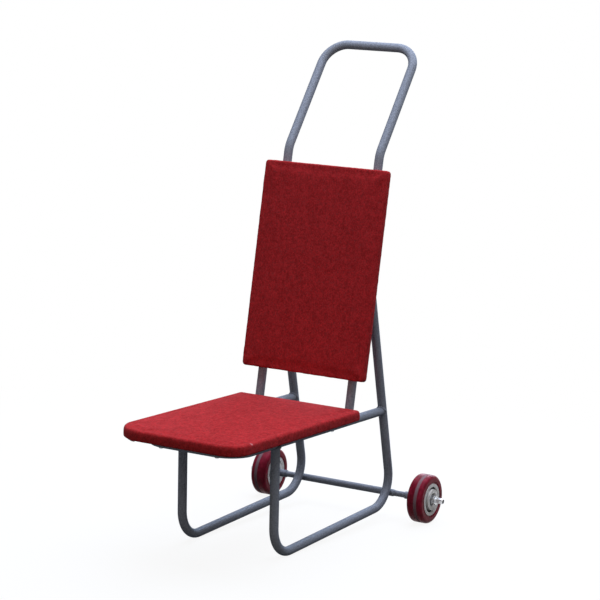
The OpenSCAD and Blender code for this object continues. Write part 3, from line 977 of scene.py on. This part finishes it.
@dataclass
class Panel:
    """An upholstered panel: felt pad, lining cloth and the staples that hold them.

    The panel's own frame has X across, Y from its near edge, and Z from the frame side to the padded side.
    """

    name: str
    place: Matrix
    width: float
    depth: float
    thick: float
    near_radii: tuple[float, float]
    far_radius: float
    edge_radius: float
    board_thick: float
    # Height up to which the felt is held on its board
    firm: float
    # Shifts the panel's unevenness, so that the two panels differ
    seed: float
    bolts: tuple[tuple[float, float], ...] = ()
    corner_segments: int = 16
    edge_segments: int = 5
    cloth: float = 1.5 * MM
    board_gap: float = 0.1 * MM
    board_edges: Span = (2 * MM, 0.4 * MM)
    bolt_hole: float = 4.1 * MM
    hole_sides: int = 32
    # Swelling of the felt over its foam, at most swell outwards and draw inwards
    slack: float = 1.2 * MM
    voxel: float = 4.5 * MM
    pressure: float = 4.0
    quality: int = 5
    frames: int = 20
    swell: float = 2.6 * MM
    draw: float = 0.6 * MM
    # Unevenness of the cloth where it wraps the edges, with folds in waves per metre
    wrap: float = 0.9 * MM
    wrap_reach: float = 12 * MM
    wrap_height: float = 0.6
    folds: float = 42.0
    fine_folds: float = 110.0
    # The gathered cloth at the left front corner
    tuck: float = 0.0
    tuck_at: float = 0.105
    tuck_run: float = 3 * MM
    # The turned-under hem and the lining inside it
    hem: float = 38 * MM
    hem_radius: float = 3.5 * MM
    hem_face: float = 2 * MM
    hem_step: float = 1.3 * MM
    lining_gap: float = 0.1 * MM
    lining_z: float = 0.9 * MM
    lining_thick: float = 0.5 * MM
    lining_mesh: tuple[int, int] = (46, 84)
    lining_waves: Span = (16.0, 11.0)
    sag: float = 0.35 * MM
    sag_reach: float = 20 * MM
    # Staples of the hem and, wider apart, of the lining
    hem_row: float = 0.62
    lining_row: float = 6 * MM
    staple_pitch: float = 34 * MM
    lining_pitch: float = 1.9
    staple_corner: float = 35 * MM
    staple_stray: float = 2.2 * MM
    staple_skew: float = 0.16
    # How stray and skew change from staple to staple, on the sides and on the ends
    stray_steps: Span = (7.3, 6.1)
    skew_steps: Span = (5.1, 4.7)
    skew_along: float = 9.0
    hem_staple_z: float = -0.1 * MM
    lining_staple_z: float = 0.55 * MM
    tube_clear: Span = (12 * MM, 16 * MM)

    def slab(self, inset: float, heights: Span, edges: Span) -> Object:
        """Shape a slab with the panel's rounded corners from a cube by bevels.

        Args:
            inset: How far the slab lies inside the panel's outline.
            heights: Heights of its frame side and its padded side.
            edges: Radii of the edges of these two sides.

        Returns:
            The slab, in the panel's own frame.
        """
        low, high = heights
        middle = self.depth / 2
        obj = add_block((self.width - 2 * inset, self.depth - 2 * inset, high - low),
                        (0, middle, (low + high) / 2))
        for side, near_radius in zip(Side, self.near_radii):
            for near, radius in ((True, near_radius), (False, self.far_radius)):
                select_edges(obj, lambda a, b: abs(a.z - b.z) > (high - low) / 2 and (a.y < middle) == near
                             and a.x * side.value > 0)
                bpy.ops.mesh.bevel(offset=radius - inset, segments=self.corner_segments, affect="EDGES")
        for height, radius in zip(reversed(heights), reversed(edges)):
            select_edges(obj, lambda a, b: max(abs(a.z - height), abs(b.z - height)) < SAME_PLACE)
            bpy.ops.mesh.bevel(offset=radius, segments=self.edge_segments, affect="EDGES")
        bpy.ops.object.mode_set(mode="OBJECT")
        return obj

    def board(self) -> Object:
        """Make the plywood board inside the pad, with the holes for its tee nuts.

        Returns:
            The board, in place.
        """
        obj = self.slab(self.cloth + self.board_gap, (self.cloth, self.cloth + self.board_thick),
                        self.board_edges)
        drills = []
        for across, along in self.bolts:
            deselect_all()
            bpy.ops.mesh.primitive_cylinder_add(vertices=self.hole_sides, radius=self.bolt_hole,
                                                depth=4 * self.board_thick, location=(across, along, 0))
            drills.append(bpy.context.object)
        drill = join(drills)
        apply_modifier(obj, "BOOLEAN", operation="DIFFERENCE", object=drill)
        bpy.data.objects.remove(drill)
        bpy.ops.object.shade_smooth_by_angle(angle=SHARP_ANGLE)
        return settle(obj, f"{self.name}_plywood", self.place)

    def inflate(self, obj: Object) -> None:
        """Let the felt swell over its foam by a short cloth simulation, held below the board's top.

        Args:
            obj: The pad, in the panel's own frame.
        """
        pick(obj)
        obj.data.remesh_voxel_size = self.voxel
        bpy.ops.object.voxel_remesh()
        start = coordinates(obj)
        normals = np.empty(start.size)
        obj.data.vertices.foreach_get("normal", normals)
        held = obj.vertex_groups.new(name="held")
        for index in np.nonzero(start[:, 2] < self.firm)[0]:
            held.add([int(index)], 1.0, "REPLACE")
        bpy.ops.object.modifier_add(type="CLOTH")
        cloth = obj.modifiers[-1]
        cloth.settings.use_pressure = True
        cloth.settings.uniform_pressure_force = self.pressure
        cloth.settings.vertex_group_mass = held.name
        cloth.settings.effector_weights.gravity = 0.0
        cloth.settings.quality = self.quality
        scene = bpy.context.scene
        for step in range(1, self.frames + 1):
            scene.frame_set(step)
        bpy.ops.object.modifier_apply(modifier=cloth.name)
        scene.frame_set(1)
        moved = coordinates(obj) - start
        far = np.maximum(np.linalg.norm(moved, axis=1), NEVER_ZERO)
        outward = np.einsum("ij,ij->i", moved, normals.reshape(-1, 3)) / far
        reach = self.draw + (self.swell - self.draw) * np.clip(outward + 0.5, *UNIT)
        share = np.minimum(1.0, reach / far)
        set_coordinates(obj, start + moved * share[:, None])
        obj.vertex_groups.clear()

    def wrinkle(self, obj: Object) -> None:
        """Give the wrapped sides and edges the small unevenness of hand-pulled cloth.

        Args:
            obj: The pad, in the panel's own frame.
        """
        rows = coordinates(obj)
        half = self.width / 2
        shift = Vector((self.seed, 2 * self.seed, 3 * self.seed))
        for row in rows:
            to_side = min(half - abs(row[0]), row[1], self.depth - row[1])
            near_edge = max(0.0, 1.0 - to_side / self.wrap_reach)
            if near_edge == 0.0:
                continue
            point = Vector(row)
            pull = noise.noise((point + shift) * self.folds)
            pull += 0.5 * noise.noise((point - shift) * self.fine_folds)
            low = max(0.0, 1.0 - row[2] / (self.wrap_height * self.thick))
            size = self.wrap * near_edge * pull
            if half - abs(row[0]) <= to_side + SAME_EDGE:
                row[0] += math.copysign(size, row[0])
            else:
                row[1] += math.copysign(size, row[1] - self.depth / 2)
            if row[2] > self.hem_radius:
                row[2] -= 0.5 * low * size
            if row[1] < self.near_radii[0]:
                gather = min(1.0, max(0.0, (-row[0] - self.tuck_at) / self.tuck_run))
                row[2] -= self.tuck * gather * low * min(1.0, 2 * near_edge)
        set_coordinates(obj, rows)

    def open_underside(self, obj: Object) -> None:
        """Sink the middle of the frame side inside the turned-under hem, where the lining lies.

        Args:
            obj: The pad, in the panel's own frame.
        """
        half = self.width / 2 - self.hem
        select_faces(obj, lambda middle, normal: normal.z < -FACING and middle.z < self.hem_face
                     and abs(middle.x) < half and self.hem < middle.y < self.depth - self.hem)
        bpy.ops.transform.translate(value=(0, 0, self.hem_step))
        bpy.ops.object.mode_set(mode="OBJECT")

    def pad(self) -> Object:
        """Make the felt pad.

        Returns:
            The pad, in place.
        """
        obj = self.slab(0.0, (0.0, self.thick - self.slack), (self.hem_radius, self.edge_radius))
        self.inflate(obj)
        self.open_underside(obj)
        apply_modifier(obj, "SUBSURF", levels=1, render_levels=1)
        self.wrinkle(obj)
        bpy.ops.object.shade_smooth()
        return settle(obj, f"{self.name}_pad", self.place)

    def lining_size(self) -> tuple[float, float]:
        """Width and length of the lining cloth."""
        margin = 2 * (self.hem + self.lining_gap)
        return self.width - margin, self.depth - margin

    def lining(self) -> Object:
        """Make the lining cloth inside the hem, a little slack between its staples.

        Returns:
            The cloth, in place.
        """
        wide, long = self.lining_size()
        columns, lines = self.lining_mesh
        deselect_all()
        bpy.ops.mesh.primitive_grid_add(x_subdivisions=columns, y_subdivisions=lines, size=1,
                                        location=(0, self.depth / 2, self.lining_z))
        obj = bpy.context.object
        obj.scale = (wide, long, 1)
        apply_place()
        rows = coordinates(obj)
        across, along = self.lining_waves
        for row in rows:
            to_edge = min(wide / 2 - abs(row[0]), row[1] - self.hem, self.depth - self.hem - row[1])
            loose = min(1.0, max(0.0, to_edge / self.sag_reach))
            point = Vector((row[0] * across + self.seed, row[1] * along, self.seed))
            row[2] += self.sag * noise.noise(point) * loose
        set_coordinates(obj, rows)
        apply_modifier(obj, "SOLIDIFY", thickness=self.lining_thick, offset=0.0)
        bpy.ops.object.shade_smooth()
        return settle(obj, f"{self.name}_lining_cloth", self.place)

    def spread(self, length: float, pitch: float) -> list[float]:
        """Place staples evenly along an edge, clear of its corners.

        Args:
            length: Length of the edge.
            pitch: Least distance from staple to staple.

        Returns:
            The places along the edge.
        """
        run = length - 2 * self.staple_corner
        count = int(run / pitch)
        return [self.staple_corner + i * run / count for i in range(count + 1)]

    def uneven(self, phase: float) -> float:
        """One of the panel's uneven values between -1 and 1."""
        return math.sin(phase + self.seed)

    def staple_places(self) -> Iterable[Triple]:
        """Find where the staples go round the hem and the lining, clear of the tubes.

        Yields:
            Place across, place along and turn of each staple.
        """
        rows = ((self.hem * self.hem_row, self.staple_pitch),
                (self.hem + self.lining_row, self.lining_pitch * self.staple_pitch))
        side_clear, end_clear = self.tube_clear
        for inset, pitch in rows:
            half = self.width / 2 - inset
            along_sides = self.spread(self.depth, pitch) if abs(half - TUBE_X) > side_clear else []
            for i, along in enumerate(along_sides):
                stray = self.staple_stray * self.uneven(self.stray_steps[0] * i)
                for sign in (-1, 1):
                    skew = self.staple_skew * self.uneven(self.skew_steps[0] * i + sign)
                    yield sign * (half + stray), along, math.pi / 2 + skew
            for i, place in enumerate(self.spread(self.width, pitch)):
                across = place - self.width / 2
                if abs(abs(across) - TUBE_X) < end_clear:
                    continue
                stray = self.staple_stray * self.uneven(self.stray_steps[1] * i)
                for end in (inset, self.depth - inset):
                    skew = self.staple_skew * self.uneven(self.skew_steps[1] * i + self.skew_along * end)
                    yield across, end + stray, skew

    def staples(self) -> Object:
        """Set all the staples of the panel.

        Returns:
            The staples as one piece, in place.
        """
        first = Staple().make()
        made = []
        for across, along, turn in self.staple_places():
            copy = first.copy()
            copy.data = first.data.copy()
            bpy.context.scene.collection.objects.link(copy)
            inside = abs(across) < self.width / 2 - self.hem and self.hem < along < self.depth - self.hem
            height = self.lining_staple_z if inside else self.hem_staple_z
            copy.matrix_world = Matrix.Translation((across, along, height)) @ Matrix.Rotation(turn, 4, "Z")
            pick(copy)
            apply_place()
            made.append(copy)
        bpy.data.objects.remove(first)
        return settle(join(made), f"{self.name}_staples", self.place)

    def build(self, finishes: Finishes) -> None:
        """Make and dress the whole panel.

        Args:
            finishes: The trolley's finishes.
        """
        pad = self.pad()
        lining = self.lining()
        finishes.dress(pad, "cover_cloth")
        finishes.dress(lining, "lining_cloth")
        finishes.dress(self.staples(), "zinc_steel")
        if self.bolts:
            board = self.board()
            finishes.dress(board, "plywood")
            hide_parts(f"{self.name}_board")
        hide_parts(f"{self.name}_cover", f"{self.name}_foam")
        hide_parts(f"{self.name}_lining")


# Frame


@dataclass
class Seam:
    """Weld seam where a branch tube of a side frame meets the side of another tube of the same size.

    The point and the two tubes' directions lie in the side frame's plane of y and z.
    """

    meet: tuple[float, float]
    tube_turn: float
    branch_turn: float

    def curve(self, x: float, radius: float, lift: float, points: int) -> list[Vector]:
        """Follow the seam round the branch tube.

        Args:
            x: The side frame's place across.
            radius: Radius of both tubes.
            lift: Height of the bead's middle over the tubes.
            points: How many points to give.

        Returns:
            The points, in order round the seam.
        """
        across = Vector((1, 0, 0))
        tube = Vector((0, math.cos(self.tube_turn), math.sin(self.tube_turn)))
        along = Vector((0, math.cos(self.branch_turn), math.sin(self.branch_turn)))
        side = along.cross(across)
        out = across.cross(tube)
        if out.dot(along) < 0:
            out = -out
        foot = Vector((x, *self.meet))
        reach = radius + lift
        made = []
        for i in range(points):
            turn = 2 * math.pi * i / points
            rise = math.sqrt(max(0.0, reach ** 2 - (radius * math.sin(turn)) ** 2))
            step = (rise - reach * math.cos(turn) * out.dot(side)) / out.dot(along)
            made.append(foot + along * step + reach * (math.cos(turn) * side + math.sin(turn) * across))
        return made


@dataclass(frozen=True)
class TubeFrame:
    """The welded tube frame: painted CAD tubes with rippled weld beads on their seams."""

    view: SideView
    bead: float = 2.1 * MM
    bead_lift: float = 0.35
    points: int = 150
    ripple: float = 0.13
    ripple_pitch: float = 2.6 * MM
    uneven: float = 0.08
    uneven_turn: float = 410.0

    def seams(self) -> dict[str, Seam]:
        """Lay out the seams of one side frame.

        Returns:
            The seams by the CAD node of their plain weld.
        """
        view = self.view
        upright = math.pi / 2 - view.upright_lean
        leg_down = view.leg_lean - math.pi / 2
        strut_down = view.strut_lean - math.pi / 2
        return {
            "upright_welds": Seam((view.upright_foot_y, view.rail_z), 0.0, upright),
            "leg_welds": Seam((view.leg_top_y, view.rail_z), 0.0, leg_down),
            "rail_welds": Seam((view.rail_end_y, view.rail_z), strut_down + math.pi, math.pi),
            "strut_welds": Seam((view.strut_top_y, view.strut_top_z), upright, strut_down),
        }

    def bead_of(self, points: Sequence[Vector]) -> Object:
        """Lay a rippled bead along a closed seam.

        Args:
            points: The seam's points.

        Returns:
            The bead as a mesh object.
        """
        deselect_all()
        data = bpy.data.curves.new("bead", "CURVE")
        data.dimensions = "3D"
        data.bevel_depth = self.bead
        data.bevel_resolution = 3
        line = data.splines.new("POLY")
        line.use_cyclic_u = True
        line.points.add(len(points) - 1)
        gone = 0.0
        for i, point in enumerate(points):
            phase = (gone / self.ripple_pitch) % 1.0
            swing = self.uneven * math.sin(gone * self.uneven_turn)
            line.points[i].co = (*point, 1)
            line.points[i].radius = 1.0 + self.ripple * (1 - 2 * phase) + swing
            gone += (points[(i + 1) % len(points)] - point).length
        obj = bpy.data.objects.new("bead", data)
        bpy.context.scene.collection.objects.link(obj)
        pick(obj)
        bpy.ops.object.convert(target="MESH")
        bpy.ops.object.shade_smooth()
        return bpy.context.object

    def build(self, finishes: Finishes) -> None:
        """Make and dress the weld beads.

        Args:
            finishes: The trolley's finishes.
        """
        lift = self.bead_lift * self.bead
        for node, seam in self.seams().items():
            beads = [self.bead_of(seam.curve(side.value * TUBE_X, TUBE_RADIUS, lift, self.points))
                     for side in Side]
            piece = settle(join(beads), node.replace("_welds", "_weld_beads"))
            finishes.dress(piece, "frame_paint")
            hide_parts(node)


@dataclass(frozen=True)
class AxleEnd:
    """Screw thread on the end of the axle rod that stands out past the nut."""

    side: Side
    wheel: WheelPlace
    inner_x: float
    outer_x: float
    crest: float = 7.25 * MM
    root: float = 6.6 * MM
    pitch: float = 2 * MM
    flank: float = 0.42
    steps: int = 32

    def build(self, finishes: Finishes) -> None:
        """Make and dress the thread.

        Args:
            finishes: The trolley's finishes.
        """
        deselect_all()
        bpy.ops.mesh.primitive_circle_add(vertices=3, radius=1, fill_type="NGON")
        obj = bpy.context.object
        half = self.flank * self.pitch
        profile = ((self.crest, 0), (self.root, -half), (self.root, half))
        for vert, (out, along) in zip(obj.data.vertices, profile):
            vert.co = (0, out, along)
        turns = int((self.outer_x - self.inner_x) / self.pitch)
        apply_modifier(obj, "SCREW", axis="Z", angle=2 * math.pi, screw_offset=self.pitch,
                       iterations=turns, steps=self.steps, render_steps=self.steps)
        bpy.ops.object.mode_set(mode="EDIT")
        bpy.ops.mesh.select_all(action="SELECT")
        bpy.ops.mesh.normals_make_consistent(inside=False)
        bpy.ops.object.mode_set(mode="OBJECT")
        start = Matrix.Translation((self.side.value * self.inner_x, self.wheel.y, self.wheel.z))
        turn = Matrix.Rotation(self.side.value * math.pi / 2, 4, "Y")
        piece = settle(obj, f"{self.side.label}_axle_thread", start @ turn)
        finishes.dress(piece, "zinc_steel")


# Studio


@dataclass(frozen=True)
class Lamp:
    """One soft square lamp, with its power in watts."""

    name: str
    place: Triple
    aim: Triple
    size: float
    power: float
    colour: Triple

    def hang(self) -> None:
        """Hang the lamp."""
        data = bpy.data.lights.new(self.name, "AREA")
        data.size = self.size
        data.energy = self.power
        data.color = self.colour
        obj = bpy.data.objects.new(self.name, data)
        bpy.context.scene.collection.objects.link(obj)
        obj.location = self.place
        obj.rotation_euler = (Vector(self.aim) - Vector(self.place)).to_track_quat("-Z", "Y").to_euler()


@dataclass(frozen=True)
class Studio:
    """Pale floor, soft light and the photograph's camera."""

    focal_px: float = 2263.794
    centre_px: tuple[float, float] = (294.432, 324.573)
    image_px: float = 600.0
    azimuth: float = math.radians(30.653)
    elevation: float = math.radians(9.413)
    roll: float = math.radians(2.431)
    target: Triple = (0.0, -0.100865, 0.550)
    offset: tuple[float, float] = (0.094063, -0.006821)
    distance: float = 5.378333
    sensor: float = 36.0
    far_clip: float = 100.0
    # Light of the surroundings on the object
    ambient: float = 0.05
    floor_size: float = 30.0
    floor_z: float = -0.2 * MM
    # The floor's grey as it lights the object, and as it is seen
    floor_lit: Colour = (0.06, 0.06, 0.06, 1)
    floor_seen: Colour = (0.97, 0.97, 0.97, 1)
    # Share of plain white in the seen floor, which grows to one over these distances
    floor_white: float = 0.91
    white_reach: Span = (0.55, 1.9)
    lamps: tuple[Lamp, ...] = (
        Lamp("top_softbox", (0.0, 0.8, 3.2), (0, 0.8, 0.0), 4.2, 160, (0.83, 0.93, 1.14)),
        Lamp("back_softbox", (-0.6, 4.4, 2.2), (0, 0.3, 0.3), 3.0, 130, (0.74, 0.91, 1.12)),
        Lamp("front_fill", (0.8, -3.4, 2.1), (0, 0, 0.4), 1.8, 15.5, (1.08, 1.0, 0.93)),
        Lamp("right_fill", (3.1, 0.2, 2.3), (0.2, 0.2, 0.3), 1.6, 8, (1.02, 1.0, 0.97)),
    )

    def camera(self) -> None:
        """Set up the camera at the photograph's viewing angle."""
        az, el = self.azimuth, self.elevation
        back = Vector((math.sin(az) * math.cos(el), -math.cos(az) * math.cos(el), math.sin(el)))
        right = Vector((math.cos(az), math.sin(az), 0))
        up = back.cross(right)
        eye = Vector(self.target) + self.offset[0] * right + self.offset[1] * up + self.distance * back
        turned_right = math.cos(self.roll) * right + math.sin(self.roll) * up
        turned_up = math.cos(self.roll) * up - math.sin(self.roll) * right
        data = bpy.data.cameras.new("camera")
        data.sensor_width = self.sensor
        data.lens = self.focal_px / self.image_px * self.sensor
        data.shift_x = 0.5 - self.centre_px[0] / self.image_px
        data.shift_y = self.centre_px[1] / self.image_px - 0.5
        data.clip_end = self.far_clip
        obj = bpy.data.objects.new("camera", data)
        bpy.context.scene.collection.objects.link(obj)
        rows = Matrix((turned_right, turned_up, back)).transposed().to_4x4()
        obj.matrix_world = Matrix.Translation(eye) @ rows
        bpy.context.scene.camera = obj

    def world(self) -> None:
        """Set up white surroundings that light the object only softly."""
        world = bpy.data.worlds.new("studio")
        world.use_nodes = True
        s = NodeSketch(world.node_tree)
        background = s.tree.nodes["Background"]
        s.put(background.inputs["Color"], WHITE)
        s.put(background.inputs["Strength"], s.span(s.seen(), UNIT, (self.ambient, 1.0)))
        bpy.context.scene.world = world

    def floor(self) -> None:
        """Lay a pale floor that keeps the object's shadow, and runs into the white surroundings."""
        deselect_all()
        bpy.ops.mesh.primitive_plane_add(size=self.floor_size, location=(0, 0, self.floor_z))
        obj = bpy.context.object
        obj.name = "floor"
        s = MaterialSketch("pale_floor")
        seen = s.seen()
        matt = s.node("BsdfDiffuse", {"Color": s.blend(seen, self.floor_lit, self.floor_seen)})
        white = s.node("Emission", {"Color": WHITE})
        away = s.node("VectorMath", {0: s.coords}, operation="LENGTH").outputs["Value"]
        share = s.math("MULTIPLY", seen, s.span(away, self.white_reach, (self.floor_white, 1.0)))
        mixed = s.node("MixShader", {0: share, 1: matt.outputs[0], 2: white.outputs[0]})
        obj.data.materials.append(s.show(mixed))

    def build(self) -> None:
        """Set up the whole studio."""
        bpy.context.scene.view_settings.view_transform = "Standard"
        self.camera()
        self.world()
        self.floor()
        for lamp in self.lamps:
            lamp.hang()


# Assembly


def seat_panel() -> Panel:
    """Lay out the seat panel on its CAD cover.

    Returns:
        The panel.
    """
    low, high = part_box("seat_cover")
    near_x, near_y, far_y = 0.077, 0.0737, 0.504
    return Panel(
        "seat", Matrix.Translation((0, low.y, low.z)), width=high.x - low.x, depth=high.y - low.y,
        thick=high.z - low.z, near_radii=(0.084, 0.050), far_radius=0.009, edge_radius=0.0068,
        board_thick=0.015, firm=0.0170, seed=3.7, tuck=0.0022,
        bolts=((-near_x, near_y), (near_x, near_y), (-TUBE_X, far_y), (TUBE_X, far_y)))


def back_panel(view: SideView, tube_gap: float = 0.1 * MM, start: float = 0.102) -> Panel:
    """Lay out the back panel on the front of the leaning uprights.

    Args:
        view: The frame's side view.
        tube_gap: Gap between the uprights and the panel.
        start: How far up the uprights the panel starts.

    Returns:
        The panel.
    """
    foot = Matrix.Translation((0, view.upright_foot_y, view.rail_z))
    lean = Matrix.Rotation(-view.upright_lean, 4, "X")
    front = Matrix.Translation((0, -TUBE_RADIUS - tube_gap, start))
    stand = Matrix.Rotation(math.pi / 2, 4, "X")
    return Panel(
        "back", foot @ lean @ front @ stand, width=0.350, depth=0.518, thick=0.0205,
        near_radii=(0.008, 0.008), far_radius=0.008, edge_radius=0.0030, board_thick=0.012, firm=0.0140,
        seed=11.3)


def main() -> None:
    """Build the trolley's pieces in order and report each one."""
    logging.basicConfig(level=logging.INFO, format="%(name)s: %(message)s")
    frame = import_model()
    wheel = WheelPlace.from_frame()
    view = SideView()
    Studio().build()
    finishes = Finishes(wheel)
    finishes.paint_nodes(frame)
    for panel in (seat_panel(), back_panel(view)):
        panel.build(finishes)
    TubeFrame(view).build(finishes)
    nut_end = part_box("right_axle_nut")[1].x
    chamfer = 1.8 * MM
    thread_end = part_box("axle_rod")[1].x - chamfer
    for side in Side:
        AxleEnd(side, wheel, nut_end, thread_end).build(finishes)


if __name__ == "__main__":
    main()
